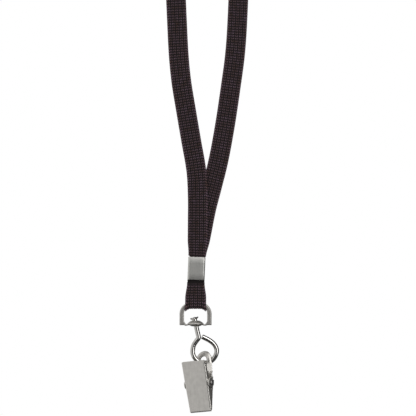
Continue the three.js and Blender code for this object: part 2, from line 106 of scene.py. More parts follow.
def route(points, per_span=48):
    """A centripetal Catmull-Rom curve through points, as a dense line with its lengths."""
    p = np.array(points, float)
    p = np.vstack([2 * p[0] - p[1], p, 2 * p[-1] - p[-2]])
    line = [p[1]]
    for a, b, c, d in zip(p, p[1:], p[2:], p[3:]):
        t0, t1, t2 = (math.sqrt(np.linalg.norm(v)) for v in (b - a, c - b, d - c))
        start = ((b - a) / t0 - (c - a) / (t0 + t1) + (c - b) / t1) * t1
        stop = ((c - b) / t1 - (d - b) / (t1 + t2) + (d - c) / t2) * t1
        for i in range(1, per_span + 1):
            t = i / per_span
            line.append(
                (2 * t**3 - 3 * t**2 + 1) * b
                + (t**3 - 2 * t**2 + t) * start
                + (-2 * t**3 + 3 * t**2) * c
                + (t**3 - t**2) * stop
            )
    line = np.array(line)
    steps = np.linalg.norm(np.diff(line, axis=0), axis=1)
    return line, np.concatenate([[0], np.cumsum(steps)])


def along(curve, s):
    """Places and directions at lengths s along a route."""
    line, lengths = curve
    tangents = np.gradient(line, lengths, axis=0)
    place = np.stack([np.interp(s, lengths, line[:, i]) for i in range(3)], axis=-1)
    ahead = np.stack([np.interp(s, lengths, tangents[:, i]) for i in range(3)], axis=-1)
    return place, unit(ahead)


def new_piece(name, vertices, faces, material, matrix=None):
    """A smooth-shaded mesh object from places in millimetres."""
    mesh = bpy.data.meshes.new(name)
    mesh.from_pydata([tuple(v) for v in vertices], [], faces)
    if matrix is not None:
        mesh.transform(matrix)
    mesh.transform(Matrix.Scale(MM, 4))
    mesh.update()
    mesh.shade_smooth()
    piece = bpy.data.objects.new(name, mesh)
    bpy.context.collection.objects.link(piece)
    mesh.materials.append(material)
    return piece


def grid_faces(rows, columns, closed_rows=False, closed_columns=False):
    faces = []
    for i in range(rows if closed_rows else rows - 1):
        for j in range(columns if closed_columns else columns - 1):
            a, b = i * columns + j, i * columns + (j + 1) % columns
            c, d = (i + 1) % rows * columns + (j + 1) % columns, (i + 1) % rows * columns + j
            faces.append((a, b, c, d))
    return faces


def tube_faces(rows, columns):
    """A tube's side faces, then a face over each end."""
    first = tuple(range(columns))[::-1]
    last = tuple(range((rows - 1) * columns, rows * columns))
    return grid_faces(rows, columns, closed_columns=True) + [first, last]


def finish_piece(piece, body, *nodes, slot):
    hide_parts(*nodes)
    if body:
        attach(piece, body)
    return piece


def apply_modifiers(piece):
    graph = bpy.context.evaluated_depsgraph_get()
    mesh = bpy.data.meshes.new_from_object(piece.evaluated_get(graph))
    piece.modifiers.clear()
    piece.data = mesh


# ---------- node trees ----------
class Graph:
    """A node tree, with short ways to add and join nodes."""

    def __init__(self, tree):
        self.tree = tree
        self.coordinates = self.add("ShaderNodeTexCoord")

    def add(self, kind):
        return self.tree.nodes.new(kind)

    def put(self, socket, value):
        if isinstance(value, bpy.types.NodeSocket):
            self.tree.links.new(value, socket)
        else:
            socket.default_value = value

    def fill(self, node, **values):
        """Sets or joins a node's inputs by name, with _ for each space in a name."""
        for key, value in values.items():
            self.put(node.inputs[key.replace("_", " ")], value)
        return node

    def noise(self, vector, scale, detail=3.0, stretch=(1, 1, 1)):
        mapping = self.fill(self.add("ShaderNodeMapping"), Vector=vector, Scale=stretch)
        place = mapping.outputs["Vector"]
        node = self.fill(self.add("ShaderNodeTexNoise"), Vector=place, Scale=scale, Detail=detail)
        return node.outputs["Fac"]

    def span(self, value, low, high, to_low=0.0, to_high=1.0, kind="LINEAR"):
        """value, from low to high, brought to to_low to to_high and held there."""
        node = self.add("ShaderNodeMapRange")
        node.interpolation_type = kind
        self.fill(node, Value=value, From_Min=low, From_Max=high, To_Min=to_low, To_Max=to_high)
        return node.outputs["Result"]

    def math(self, operation, a, b):
        node = self.add("ShaderNodeMath")
        node.operation = operation
        self.put(node.inputs[0], a)
        self.put(node.inputs[1], b)
        return node.outputs["Value"]

    def mix(self, factor, a, b):
        node = self.add("ShaderNodeMix")
        node.data_type = "RGBA"
        return self.fill(node, Factor=factor, A=a, B=b).outputs["Result"]

    def attribute(self, name):
        node = self.add("ShaderNodeAttribute")
        node.attribute_name = name
        return node.outputs["Fac"]

    def bump(self, height, distance, strength):
        node = self.add("ShaderNodeBump")
        return self.fill(node, Height=height, Distance=distance, Strength=strength).outputs["Normal"]


class Surface(Graph):
    """A material with one principled shader."""

    def __init__(self, name):
        self.material = bpy.data.materials.new(name)
        self.material.use_nodes = True
        super().__init__(self.material.node_tree)
        self.shader = self.tree.nodes["Principled BSDF"]

    def set(self, **values):
        self.fill(self.shader, **values)


def rgba(color, gain=1.0):
    return (*[c * gain for c in color], 1.0)


# ---------- materials ----------
# The crest colour is a painted violet highlight, and the near black groove colour is painted shade
# between the strands.
BRAID_CREST_HIGHLIGHT = (0.165, 0.104, 0.150)
BRAID_GROUND = (0.095, 0.050, 0.043)
BRAID_GROOVE_SHADE = (0.006, 0.0035, 0.0035)
SHEEN_TINT = (0.75, 0.62, 0.85)
FILAMENT_GRAIN = (9.0, 1.6, 1.0)
FILAMENT_SHADE = 0.5  # of the tape's base colour, between its filaments


def braid_material():
    """Soft polyester braid: painted shade in its grooves, painted violet highlights on its crests, fine
    filaments.
    """
    n = Surface("braided_tape")
    uv = n.coordinates.outputs["UV"]
    patches = n.noise(uv, 0.35)
    filaments = n.noise(uv, 1.0, 2.0, stretch=FILAMENT_GRAIN)
    high = n.mix(n.span(patches, 0.35, 0.7), rgba(BRAID_GROUND), rgba(BRAID_CREST_HIGHLIGHT))
    # Painted shade and highlight: low lift takes the grooves' painted shade, and high lift the crests'
    # colour.
    colour = n.mix(n.span(n.attribute("lift"), 0.45, 1.0), rgba(BRAID_GROOVE_SHADE), high)
    shade = rgba(BASE_COLORS["braided_tape"], FILAMENT_SHADE)
    colour = n.mix(n.span(filaments, 0.3, 0.75, 0.0, 0.35), colour, shade)
    n.set(
        Base_Color=colour,
        Roughness=n.span(filaments, 0.3, 0.7, 0.62, 0.86),
        Normal=n.bump(filaments, 0.00006, 0.7),
        Specular_IOR_Level=0.2,
        Sheen_Weight=0.08,
        Sheen_Roughness=0.5,
        Sheen_Tint=rgba(SHEEN_TINT),
    )
    return n.material


CLOUD_SCALE, LINE_SCALE, SPECK_SCALE = 420.0, 900.0, 3200.0
# The last gain is a painted highlight on raised edges.
CLOUD_GAIN, LINE_GAIN, EDGE_HIGHLIGHT_GAIN = 0.62, 1.18, 1.5  # on the base colour


def plated_material(slot, base, roughness, brush, mottle, grain=(1, 1, 1), edge=0.0, pits=0.0):
    """Nickel plate. roughness is its range, brush the depth of its fine lines, mottle its
    cloudiness, grain the stretch of its lines, edge how far its raised edges are painted bright as a
    highlight, and pits its casting texture."""
    n = Surface(slot)
    place = n.coordinates.outputs["Object"]
    clouds = n.noise(place, CLOUD_SCALE, 4.0)
    lines = n.noise(place, LINE_SCALE, stretch=grain)
    specks = n.noise(place, SPECK_SCALE, 2.0)
    colour = n.mix(n.span(clouds, 0.3, 0.7, 0.0, mottle), rgba(base), rgba(base, CLOUD_GAIN))
    colour = n.mix(n.span(lines, 0.35, 0.7, 0.0, brush), colour, rgba(base, LINE_GAIN))
    # Painted highlight: edges where pointiness is high are painted brighter.
    if edge:
        pointiness = n.add("ShaderNodeNewGeometry").outputs["Pointiness"]
        colour = n.mix(n.span(pointiness, 0.51, 0.58, 0.0, edge), colour, rgba(base, EDGE_HIGHLIGHT_GAIN))
    mixed = n.math("ADD", n.math("MULTIPLY", clouds, 0.5), n.math("MULTIPLY", lines, 0.5))
    height = n.math("ADD", n.math("MULTIPLY", lines, 0.6), n.math("MULTIPLY", specks, pits))
    n.set(
        Base_Color=colour,
        Roughness=n.span(mixed, 0.3, 0.7, *roughness),
        Normal=n.bump(height, 0.00002, 0.25),
        Metallic=1.0,
    )
    return n.material


NICKEL = (0.635, 0.615, 0.58)
BRAID = braid_material()
CRIMP_STEEL = plated_material(
    "crimp_steel", (0.68, 0.675, 0.645), roughness=(0.46, 0.54),
    brush=0.25, mottle=0.25, grain=(1, 1, 0.12), edge=0.1,
)
CAST_NICKEL = plated_material(
    "cast_nickel", NICKEL, roughness=(0.42, 0.54), brush=0.1, mottle=0.3, edge=0.4, pits=0.8
)
BRIGHT_NICKEL = plated_material(
    "bright_nickel", (0.62, 0.605, 0.58), roughness=(0.05, 0.12),
    brush=0.05, mottle=0.2, grain=(1, 1, 0.4),
)
CLIP_STEEL = plated_material(
    "clip_steel", NICKEL, roughness=(0.32, 0.44),
    brush=0.35, mottle=0.35, grain=(1, 1, 0.1), edge=0.5,
)
SPRING_STEEL = plated_material(
    "spring_steel", (0.4, 0.39, 0.38), roughness=(0.25, 0.4), brush=0.2, mottle=0.3
)


# ---------- braided tape ----------
TAPE_WIDTH = 10.0
STITCH = 1.36  # along the tape
COLUMNS = 5  # columns of V stitches across a face
ROW_LIFTS = (0.0, 0.62, 0.95, 1.0)  # each stitch rises and then dips under the next
ACROSS_LIFTS = (0.0, 1.0, 0.5, 1.0)  # from the gap between columns, over two strands
# The edges' high lift also gives them the painted violet highlight.
EDGE_LIFT = 0.9
FACE_REACH = 0.955  # how far a face goes towards the tape's edge, from 0 to 1
EDGE_BULGE = 0.016  # how far each stitch swells the edge, as a share of half the width
V_DEPTH = 0.6  # how far a strand runs along the tape from its column's middle to its edge
CORE, RELIEF = 0.32, 0.26  # half the tape's thickness in its gaps, and the height of its strands


def braid_section():
    """One turn round the tape: places across from -1 to 1, side (-1 front, 0 edge, 1 back), lift
    and how far the strand has run along the tape."""
    count = COLUMNS * 4
    face = []
    for i in range(count + 1):
        from_middle = abs((i / 4) % 1 - 0.5)
        lift = ACROSS_LIFTS[i % 4] if 0 < i < count else EDGE_LIFT
        face.append((-1 + 2 * i / count, lift, -from_middle * 2 * V_DEPTH))
    front = [(a * FACE_REACH, -1, lift, run) for a, lift, run in face]
    back = [(a * FACE_REACH, 1, lift, run) for a, lift, run in reversed(face)]
    right, left = [(a, 0, EDGE_LIFT, -V_DEPTH) for a in (1.0, -1.0)]
    return front + [right] + back + [left]


def add_tape_map(mesh, columns, rows, s):
    """The tape's UV map in millimetres: across, right round both faces, and along."""
    around = np.cumsum(np.full(columns, 2 * TAPE_WIDTH / columns))
    places = np.stack([np.tile(around, rows), s], axis=-1)
    corners = np.empty(len(mesh.loops), np.int64)
    mesh.loops.foreach_get("vertex_index", corners)
    mesh.uv_layers.new(name="tape").data.foreach_set("uv", places[corners].ravel().astype(np.float32))


def braided_tape(name, curve, plane_normal, turn, width, drop=None, crimp_shadow_fade=None):
    """A flat braid along a route. At u from 0 to 1, turn(u) is how far its width has turned from the
    route's own plane to plane_normal. width(place) is its width there, drop(z, a) lowers its edges
    and tucked(z), from 0 to 1, fades out a painted shadow: where it is 0 the colour is painted dark."""
    length = curve[1][-1]
    section = np.array(braid_section())
    stitches = round(length / STITCH)
    rows, columns = stitches * 4 + 1, len(section)
    s = np.repeat(np.linspace(0, length, rows)[:, None], columns, axis=1)
    near_end = smooth(np.minimum(s, length - s) / (2 * STITCH))
    s = np.clip(s + section[:, 3] * near_end, 0, length)
    place, ahead = along(curve, s.ravel())
    normal = np.array(plane_normal, float)
    in_plane = unit(np.cross(normal, ahead))
    angle = turn(s / length).reshape(-1, 1)
    across = unit(in_plane * np.cos(angle) + normal * np.sin(angle))
    face = unit(np.cross(ahead, across))
    row_lift = np.array([ROW_LIFTS[i % 4] for i in range(rows)])
    lift = row_lift[:, None] * section[:, 2]
    half = width(place).reshape(rows, columns) / 2
    sideways = section[:, 0] * half * (1 + EDGE_BULGE * (section[:, 1] == 0) * row_lift[:, None])
    outwards = section[:, 1] * (CORE + RELIEF * lift)
    vertices = place + across * sideways.reshape(-1, 1) + face * outwards.reshape(-1, 1)
    if drop is not None:
        vertices[:, 2] -= drop(place[:, 2], sideways.ravel())
    faces = [f[::-1] for f in tube_faces(rows, columns)]
    piece = new_piece(name, vertices, faces, BRAID)
    # Painted shadow: where that function is 0, the lift that sets the colour drops to 0 and the tape is
    # painted dark.
    shown = lift.ravel() * (1 if crimp_shadow_fade is None else crimp_shadow_fade(place[:, 2]))
    piece.data.attributes.new("lift", "FLOAT", "POINT").data.foreach_set("value", shown)
    add_tape_map(piece.data, columns, rows, s.ravel())
    return piece


# The neck loop's middle line in millimetres, as in the CAD: up the front leg, over the top and down
# the rear leg, with the front leg crossing in front of the rear one.
LOOP_RADIUS, LOOP_Z = 20.5, -20.0
FRONT_LEG = [
    (-5.45, -1.2, -391.0), (-5.2, -1.2, -386.4), (-4.95, -1.2, -380.0), (-4.85, -1.2, -368.0),
    (-4.8, -1.15, -357.0), (-5.5, -1.1, -343.0), (-8.2, -1.0, -327.0), (-11.1, -0.6, -310.0),
    (-13.2, -0.2, -297.0), (-14.5, 0, -284.0), (-15.5, 0, -264.5), (-17.1, 0, -225.0),
    (-18.8, 0, -165.0), (-20.0, 0, -100.0), (-20.5, 0, -50.0),
]
REAR_LEG = [
    (20.5, 0, -50.0), (20.0, 0, -100.0), (18.6, 0, -165.0), (16.8, 0, -225.0),
    (15.45, 0, -264.5), (14.2, 0, -282.9), (11.8, 0, -301.0), (9.1, 0, -319.0),
    (5.7, 0.1, -337.4), (2.4, 0.2, -350.7), (-0.4, 0.2, -361.5), (-3.0, 0.1, -374.5),
    (-4.7, 0, -383.3), (-5.2, 0, -387.5), (-5.4, 0, -391.0),
]
OVER_TOP = [(-LOOP_RADIUS, 0, LOOP_Z)] + [
    (LOOP_RADIUS * math.cos(a), 0, LOOP_Z + LOOP_RADIUS * math.sin(a))
    for a in map(math.radians, (150, 115, 90, 65, 30))
] + [(LOOP_RADIUS, 0, LOOP_Z)]
FACING = {"from": 0.09, "over": 0.2}  # shares of the loop, each way from its top

CRIMP = {
    "x": -5.76, "bottom": -398.6, "width": 8.8, "depth": 5.0, "height": 12.2, "tilt": 2.4,
    "wall": 0.5, "corner": 1.1, "seam": 0.35,
}
GATHERED, MOUTH = 7.2, 8.8  # the tape's width inside the crimp and at its edges
MOUTH_SPAN = (0.1, 0.5)  # where past the crimp's edge the tape opens to MOUTH, and over how much
FLARE_SPAN = (1, 8)  # the same for its full width


def spread_width(past_edge, full):
    """The tape's width so far past the crimp's edge."""
    mouth = GATHERED + (MOUTH - GATHERED) * ramp(past_edge, *MOUTH_SPAN)
    return mouth + (full - mouth) * ramp(past_edge, *FLARE_SPAN)


def make_strap():
    """The neck loop, which lies flat across the neck at its top and faces the front lower down."""
    curve = route(FRONT_LEG + OVER_TOP + REAR_LEG)
    crimp_top = CRIMP["bottom"] + CRIMP["height"]
    strap = braided_tape(
        "neck_strap",
        curve,
        (0, 1, 0),
        turn=lambda u: math.pi / 2 * (1 - ramp(abs(u - 0.5), FACING["from"], FACING["over"])),
        width=lambda place: spread_width(place[..., 2] - crimp_top, TAPE_WIDTH),
    )
    finish_piece(strap, "strap", "strap_loop", slot="braided_tape")


make_strap()

RING = {"x": -5.95, "top": -409.6, "width": 16.4, "bar": 2.0, "leg": 2.3, "corner": 5.9}
PLY_PITCH = 1.2
FOLD = {"width": 10.6, "radius": 1.87, "front_end": 4.5, "rear_end": 10.5, "bulge": 1.5}
CORNER_SLACK = 0.15  # between the tape and the ring's inside corner


def fold_points(bar_z):
    """Down from inside the crimp, round the ring's top bar and back up at the rear."""
    r, x, low = FOLD["radius"], CRIMP["x"], CRIMP["bottom"]
    round_bar = [
        (RING["x"], r * math.cos(a), bar_z + r * math.sin(a))
        for a in map(math.radians, range(180, 361, 30))
    ]
    return [
        (x, -PLY_PITCH, low + FOLD["front_end"]),
        (x, -PLY_PITCH, low + 0.5),
        (x - 0.08, -FOLD["bulge"], low - 4),
        (RING["x"] + 0.05, -r, bar_z + 1.5),
        *round_bar,
        (RING["x"] + 0.05, r, bar_z + 1.5),
        (x - 0.08, FOLD["bulge"], low - 4),
        (x, PLY_PITCH, low + 0.5),
        (x + 0.3, PLY_PITCH, low + FOLD["rear_end"]),
    ]


def make_fold():
    """The strap's end, round the D-ring's top bar. Its edges drop into the ring's round corners."""
    bar_z = RING["top"] - RING["bar"] / 2
    x, low = CRIMP["x"], CRIMP["bottom"]
    straight = RING["width"] / 2 - RING["corner"]
    inner = RING["corner"] - RING["leg"] + CORNER_SLACK

    def drop(z, a):
        past = np.clip(abs(a) - straight, 0, inner * 0.95)
        return (inner - np.sqrt(inner**2 - past**2)) * smooth((bar_z + 2.5 - z) / 3)

    fold = braided_tape(
        "strap_fold",
        route(fold_points(bar_z)),
        (1, 0, 0),
        turn=lambda u: np.full(u.shape, math.pi / 2),
        width=lambda place: spread_width(low - place[..., 2], FOLD["width"]),
        drop=drop,
        # Painted shadow: the tape is painted dark at the crimp's mouth, fading out from 0.3 to 2.1 mm
        # below it.
        crimp_shadow_fade=lambda z: ramp(low - z, 0.3, 1.8),
    )
    finish_piece(fold, None, "ring_fold", slot="braided_tape")
    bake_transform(fold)


make_fold()


# ---------- crimp sleeve ----------
CUT_SLOPE = -0.28  # the sleeve's lower edge stands higher in front than behind
CUT_LEVEL = 0.6  # how far in front of the middle that edge is at its own height


def sleeve_outline(inset, steps=9):
    """The sleeve's plan from one side of its rear seam round to the other, inset by so much."""
    hx, hy = CRIMP["width"] / 2 - inset, CRIMP["depth"] / 2 - inset
    r = CRIMP["corner"] - inset * 0.9
    seam = CRIMP["seam"] / 2
    points = [(seam, hy), (hx * 0.4, hy)]
    for cx, cy, start in ((1, 1, 90), (1, -1, 0), (-1, -1, -90), (-1, 1, -180)):
        for i in range(steps + 1):
            a = math.radians(start - 90 * i / steps)
            points.append((cx * (hx - r) + r * math.cos(a), cy * (hy - r) + r * math.sin(a)))
        if cy == -1 and cx == 1:
            points.extend((hx * f, -hy) for f in (0.4, 0.0, -0.4))
    points.extend([(-hx * 0.4, hy), (-seam, hy)])
    return points


def sleeve_profile():
    """The wall's section as (inset, height): up its inside, over its rolled edge and down outside."""
    h, wall = CRIMP["height"], CRIMP["wall"]
    return [
        (wall, 0.3), (wall, h - 0.3), (wall * 0.85, h - 0.08), (wall / 2, h), (0.1, h - 0.06),
        (0.0, h - 0.22), (0.006, h * 0.72), (0.01, h / 2), (0.006, h * 0.28),
        (0.0, 0.22), (0.1, 0.06), (wall / 2, 0.0), (wall * 0.85, 0.08),
    ]


def make_crimp():
    """Wrapped sheet with rolled upper and lower edges; the two ends meet at the back."""
    rings = []
    for inset, z in sleeve_profile():
        slope = (1 - z / CRIMP["height"]) * CUT_SLOPE
        rings.append([(x, y, z + slope * (y + CUT_LEVEL)) for x, y in sleeve_outline(inset)])
    count = len(rings[0])
    vertices = [p for ring in rings for p in ring]
    faces = grid_faces(len(rings), count, closed_rows=True)
    faces.append(tuple(i * count for i in range(len(rings)))[::-1])
    faces.append(tuple((i + 1) * count - 1 for i in range(len(rings))))
    place = Matrix.Translation((CRIMP["x"], 0, CRIMP["bottom"])) @ turned(CRIMP["tilt"], "Y")
    crimp = new_piece("crimp_shell", vertices, faces, CRIMP_STEEL, place)
    crimp.data.set_sharp_from_angle(angle=math.radians(50))
    finish_piece(crimp, "strap", "crimp_sleeve", slot="crimp_steel")


make_crimp()


# ---------- cast and stamped parts with rounded edges ----------
def softened(name, node, voxel, passes, material):
    """A CAD node's shape with every edge rounded: remeshed at voxel, in mm, and smoothed."""
    mesh = frame["nodes"][node].data.copy()
    mesh.transform(Matrix.Scale(1 / MM, 4))
    mesh.materials.clear()
    piece = bpy.data.objects.new(name, mesh)
    bpy.context.collection.objects.link(piece)
    remesh = piece.modifiers.new("remesh", "REMESH")
    remesh.mode = "VOXEL"
    remesh.voxel_size = voxel
    relax = piece.modifiers.new("relax", "SMOOTH")
    relax.factor, relax.iterations = 0.5, passes
    apply_modifiers(piece)
    piece.data.transform(Matrix.Scale(MM, 4))
    piece.data.shade_smooth()
    piece.data.materials.append(material)
    return piece


def reshape(piece, change, matrix=Matrix.Identity(4)):
    """Moves a piece's vertices by change, in millimetres in matrix's frame."""
    inwards = (Matrix.Scale(MM, 4) @ matrix).inverted()
    piece.data.transform(inwards)
    v = np.empty(len(piece.data.vertices) * 3, np.float32)
    piece.data.vertices.foreach_get("co", v)
    v = v.reshape(-1, 3).astype(float)
    change(v)
    piece.data.vertices.foreach_set("co", v.ravel().astype(np.float32))
    piece.data.transform(inwards.inverted())
    return piece


# The lower bar's thin stretches: where they start and end, out from the ring's middle, how high
# they reach up from its underside, and the share of their height that is taken off.
THIN = {"boss": 3.2, "boss_fade": 1.4, "foot": 5.2, "foot_fade": 0.9, "height": 4, "share": 0.5}


def thin_bar(v):
    """The D-ring's lower bar thins between its feet and its boss."""
    out = np.abs(v[:, 0] - RING["x"])
    foot = v[:, 2].min()
    rise = v[:, 2] - foot
    past_boss = ramp(out, THIN["boss"], THIN["boss_fade"])
    before_foot = 1 - ramp(out, THIN["foot"], THIN["foot_fade"])
    weight = past_boss * before_foot * (rise < THIN["height"])
    v[:, 2] = foot + rise * (1 - THIN["share"] * weight)


ring = reshape(softened("d_ring_cast", "d_ring", 0.12, 6, CAST_NICKEL), thin_bar)
finish_piece(ring, "ring", "d_ring", slot="cast_nickel")


# ---------- the clip ----------
# Its own frame has the pivot pin along X and the plates' length along Z.
CLIP_PIVOT = (-3.98, -4.0, -450.9)
CLIP_PLACE = Matrix.Translation(CLIP_PIVOT) @ (turned(-8, "Y") @ turned(-37, "Z") @ turned(-5.5, "X"))
SHEET = 0.7
PLATE = {"top": 11.7, "bottom": -14.1, "half": (7.25, 7.1, 6.7), "corner": 0.8, "gap": 2.35}
LEAN, HANDLE_LEAN = math.tan(math.radians(7)), math.tan(math.radians(14))
REAR_BEND = 1.0  # above this height the rear plate leans as HANDLE_LEAN
# Each pair in these two is where a ramp starts and how long it is.
TAB = {
    "limb": 3.62, "band": 1.32, "centre_z": 11.6, "twist": 48, "crown": 0.4,
    "arch": (9.5, 2.5), "foot": (4.8, 1.6), "inside": (1.4, 0.9), "round": (15, 50),
}
EARS = {"inside": (6.6, 0.6), "below": 4, "back": (0.2, 2.0), "narrowing": 0.5}
EAR_REAR, EAR_PULL = 0.5, 0.4  # behind this depth the ears are drawn in by this share


def front_plane(z):
    return -(PLATE["gap"] + z * LEAN)


def rear_plane(z):
    jaw, handle = np.minimum(z, REAR_BEND), np.maximum(z - REAR_BEND, 0)
    return PLATE["gap"] + jaw * LEAN + handle * HANDLE_LEAN


def form_tab(v):
    """The hanging tab: its arch is crowned and its right limb is twisted towards the front."""
    x, _, z = v.T
    above = z - TAB["centre_z"]
    radius = np.hypot(x, above)
    from_middle = np.where(above > 0, radius - TAB["limb"], np.abs(x) - TAB["limb"])
    crown = TAB["crown"] * np.clip(1 - (from_middle / TAB["band"]) ** 2, 0, 1)
    v[:, 1] -= crown * ramp(z, *TAB["arch"])
    round_arch = np.degrees(np.arctan2(np.maximum(above, 0), x))
    on_limb = ramp(z, *TAB["foot"]) * ramp(x, *TAB["inside"])
    weight = on_limb * (1 - ramp(round_arch, *TAB["round"]))
    turn = np.radians(TAB["twist"]) * weight
    dx, dy = v[:, 0] - TAB["limb"], v[:, 1] - rear_plane(z)
    moved_x = TAB["limb"] + dx * np.cos(turn) - dy * np.sin(turn)
    moved_y = rear_plane(z) + dx * np.sin(turn) + dy * np.cos(turn)
    on = weight > 0
    v[on, 0], v[on, 1] = moved_x[on], moved_y[on]


def round_ears(v):
    """The outer ears narrow towards the back, where they join the plate."""
    x, y, z = v.T
    weight = ramp(np.abs(x), *EARS["inside"]) * (np.abs(z) < EARS["below"])
    v[:, 2] = z * (1 - EARS["narrowing"] * ramp(y, *EARS["back"]) * weight)
    v[:, 1] = np.where(y > EAR_REAR, y - (y - EAR_REAR) * EAR_PULL * weight, y)


def make_back():
    back = softened("clip_back", "rear_jaw", 0.13, 4, CLIP_STEEL)
    reshape(back, form_tab, CLIP_PLACE)
    reshape(back, round_ears, CLIP_PLACE)
    finish_piece(back, "clip", "rear_jaw", slot="clip_steel")


# The front plate is one stamped and folded sheet.
EAR_RADIUS = 1.7
LIP_RADIUS, BEND_RADIUS = 0.6, 0.6
LIP_TAPER = 0.3  # how much narrower each side is at the end of the lip
OUTSIDE_BEND = 0.42  # how much wider the sheet is where its left side is folded
BEND_STEPS, WALL_STEPS = 6, 3
ROW_HEIGHTS = (
    10.3, 9.8, 9.5, 9.2, 8.8, 7, 5, 3.5, 2.6, 2.1, 1.7, 1.6, 1.3, 0.8, 0,
    -0.8, -1.3, -1.6, -1.7, -2.2, -4, -7, -10, -12.4, -12.9,
)
# The side walls along the plate's height: 0 is no wall, 1 the jaw's wall, which ends at JAW_WALL,
# and 2 the handle's, which stands HANDLE_WALL off the plate.
WALL_HEIGHTS = (-13.4, -13.1, 1.2, 2.6, 8.8)
WALL_STAGES = (0, 1, 1, 2, 2)
JAW_WALL, HANDLE_WALL = -0.25, 1.3
FOLDED = {"top": 10.6, "top_fade": 0.7, "foot": -13.2, "foot_fade": 0.5}


def front_rows():
    """Each row as (height, half width, lip): lip is how far the foot has curled in, in degrees."""
    top, bottom, c = PLATE["top"], PLATE["bottom"], PLATE["corner"]
    at_top, at_pivot, at_foot = PLATE["half"]
    rows = []
    for a in map(math.radians, (90, 70, 50, 30, 12)):
        rows.append((top - c * (1 - math.sin(a)), at_top - c * (1 - math.cos(a)), 0))
    for z in ROW_HEIGHTS:
        end, at_end = (top, at_top) if z > 0 else (bottom, at_foot)
        rows.append((z, at_pivot + (at_end - at_pivot) * (z / end), 0))
    for a in (0, 15, 30, 45, 60, 75, 88):
        rows.append((bottom + LIP_RADIUS, at_foot - LIP_TAPER * (1 - math.cos(math.radians(a))), a))
    return rows


def wall_reach(z):
    """Where the folded side wall ends, towards the pivot."""
    stage = np.interp(z, WALL_HEIGHTS, WALL_STAGES)
    wall = np.interp(stage, (0, 1, 2), (front_plane(z), JAW_WALL, front_plane(z) + HANDLE_WALL))
    if abs(z) < EAR_RADIUS:
        return max(wall, math.sqrt(EAR_RADIUS**2 - z * z))
    return wall


def folded_side(z, half, folded):
    """From the face's flat to the wall's edge as (x, depth), for one side of the plate."""
    reach = max(wall_reach(z) - front_plane(z), BEND_RADIUS + 0.02)
    wall_x = half - SHEET / 2
    flat_end = wall_x - BEND_RADIUS
    last = BEND_STEPS + WALL_STEPS
    side = []
    for i in range(last + 1):
        flat = (flat_end + (half - flat_end) * i / last, 0.0)
        if i <= BEND_STEPS:
            a = math.pi / 2 * i / BEND_STEPS
            bent = (flat_end + BEND_RADIUS * math.sin(a), BEND_RADIUS * (1 - math.cos(a)))
        else:
            up_wall = (i - BEND_STEPS) / WALL_STEPS
            bent = (wall_x, BEND_RADIUS + up_wall * (reach - BEND_RADIUS))
        side.append([f + (b - f) * folded for f, b in zip(flat, bent)])
    return side


def front_section(z, half, lip):
    """Places across the sheet's middle as (x, y), from one wall's edge over the face to the other's."""
    folded = 0.0
    if lip == 0:
        below_top = ramp(FOLDED["top"] - z, 0, FOLDED["top_fade"])
        folded = float(below_top * ramp(z, FOLDED["foot"], FOLDED["foot_fade"]))
    left = folded_side(z, half + OUTSIDE_BEND * folded, folded)
    right = folded_side(z, half, folded)
    middle = [(x, 0.0) for x in np.linspace(-left[0][0], right[0][0], 7)[1:-1]]
    across = [(-x, d) for x, d in reversed(left)] + middle + right
    return [(x, front_plane(z) + d) for x, d in across]


def sheet_piece(name, vertices, faces, thickness):
    """Sheet metal from its middle surface, its cut edges rounded."""
    mesh = bpy.data.meshes.new(name)
    mesh.from_pydata(vertices, [], faces)
    piece = bpy.data.objects.new(name, mesh)
    bpy.context.collection.objects.link(piece)
    solid = piece.modifiers.new("solid", "SOLIDIFY")
    solid.thickness, solid.offset, solid.use_even_offset = thickness, 0.0, True
    round_off = piece.modifiers.new("edges", "BEVEL")
    round_off.width, round_off.segments = 0.1, 3
    round_off.limit_method, round_off.angle_limit = "ANGLE", math.radians(50)
    apply_modifiers(piece)
    piece.data.transform(Matrix.Scale(MM, 4) @ CLIP_PLACE)
    piece.data.shade_smooth()
    piece.data.materials.append(CLIP_STEEL)
    return piece


def make_front():
    rows = front_rows()
    vertices = []
    for z, half, lip in rows:
        a = math.radians(lip)
        for x, y in front_section(z, half, lip):
            vertices.append((x, y + LIP_RADIUS * (1 - math.cos(a)), z - LIP_RADIUS * math.sin(a)))
    faces = grid_faces(len(rows), len(vertices) // len(rows))
    front = sheet_piece("clip_front", vertices, faces, SHEET)
    finish_piece(front, "lever", "front_jaw", slot="clip_steel")


make_back()
make_front()


# ---------- round wire ----------
CUT_CHAMFER = 0.16  # of a wire's radius, at its cut ends
PETAL_PHASE = 0.6


def round_wire(name, points, radius, sides, step, material, matrix=None, per_span=24):
    """A drawn wire along points, its two cut ends slightly rounded."""
    curve = route(points, per_span)
    length = curve[1][-1]
    s = np.linspace(0, length, max(int(length / step), 8))
    centre, ahead = along(curve, s)
    across = [unit(np.cross(ahead[0], (0.3, 1.0, 0.2)))]
    for direction in ahead[1:]:
        carried = across[-1] - direction * np.dot(across[-1], direction)
        across.append(unit(carried))
    across = np.array(across)
    other = np.cross(ahead, across)
    angles = np.arange(sides) * 2 * math.pi / sides
    around = across[:, None] * np.cos(angles)[:, None] + other[:, None] * np.sin(angles)[:, None]
    chamfer = radius * CUT_CHAMFER
    rows = [centre[0] + around[0] * (radius - chamfer)]
    rows.extend(c + a * radius for c, a in zip(centre[1:-1], around[1:-1]))
    rows.append(centre[-1] + around[-1] * (radius - chamfer))
    rows[1] = centre[0] + ahead[0] * chamfer + around[0] * radius
    rows[-2] = centre[-1] - ahead[-1] * chamfer + around[-1] * radius
    piece = new_piece(name, np.concatenate(rows), tube_faces(len(rows), sides), material, matrix)
    piece.data.set_sharp_from_angle(angle=math.radians(40))
    return piece


